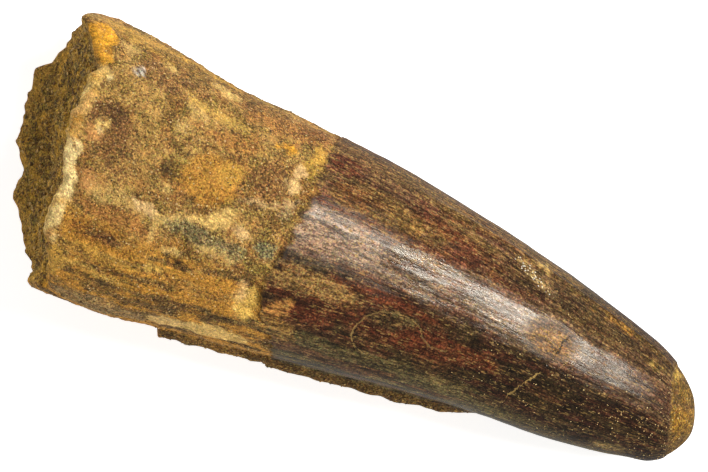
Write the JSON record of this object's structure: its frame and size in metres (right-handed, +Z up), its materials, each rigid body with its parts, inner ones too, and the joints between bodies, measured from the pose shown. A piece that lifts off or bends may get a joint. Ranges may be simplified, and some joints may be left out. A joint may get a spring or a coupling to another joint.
{
  "type": "fossil tooth",
  "caption": "Stout conical fossil spinosaur tooth with dark enamel crown, worn tip and sandy broken root, lying on its side.",
  "frame": {"origin": "under the middle of the bounding box, on the surface that the tooth rests on", "axes": "+X along the tooth from the broken root to the worn tip, +Y towards one flank, +Z up out of the side that faces the viewer"},
  "size_m": [0.08, 0.0294, 0.0253],
  "materials": {
    "tooth": "mineralised tooth: satin mahogany enamel, matt ochre root, sandy brown broken end"
  },
  "bodies": {
    "root": {"tooth": "tooth"}
  },
  "joints": []
}
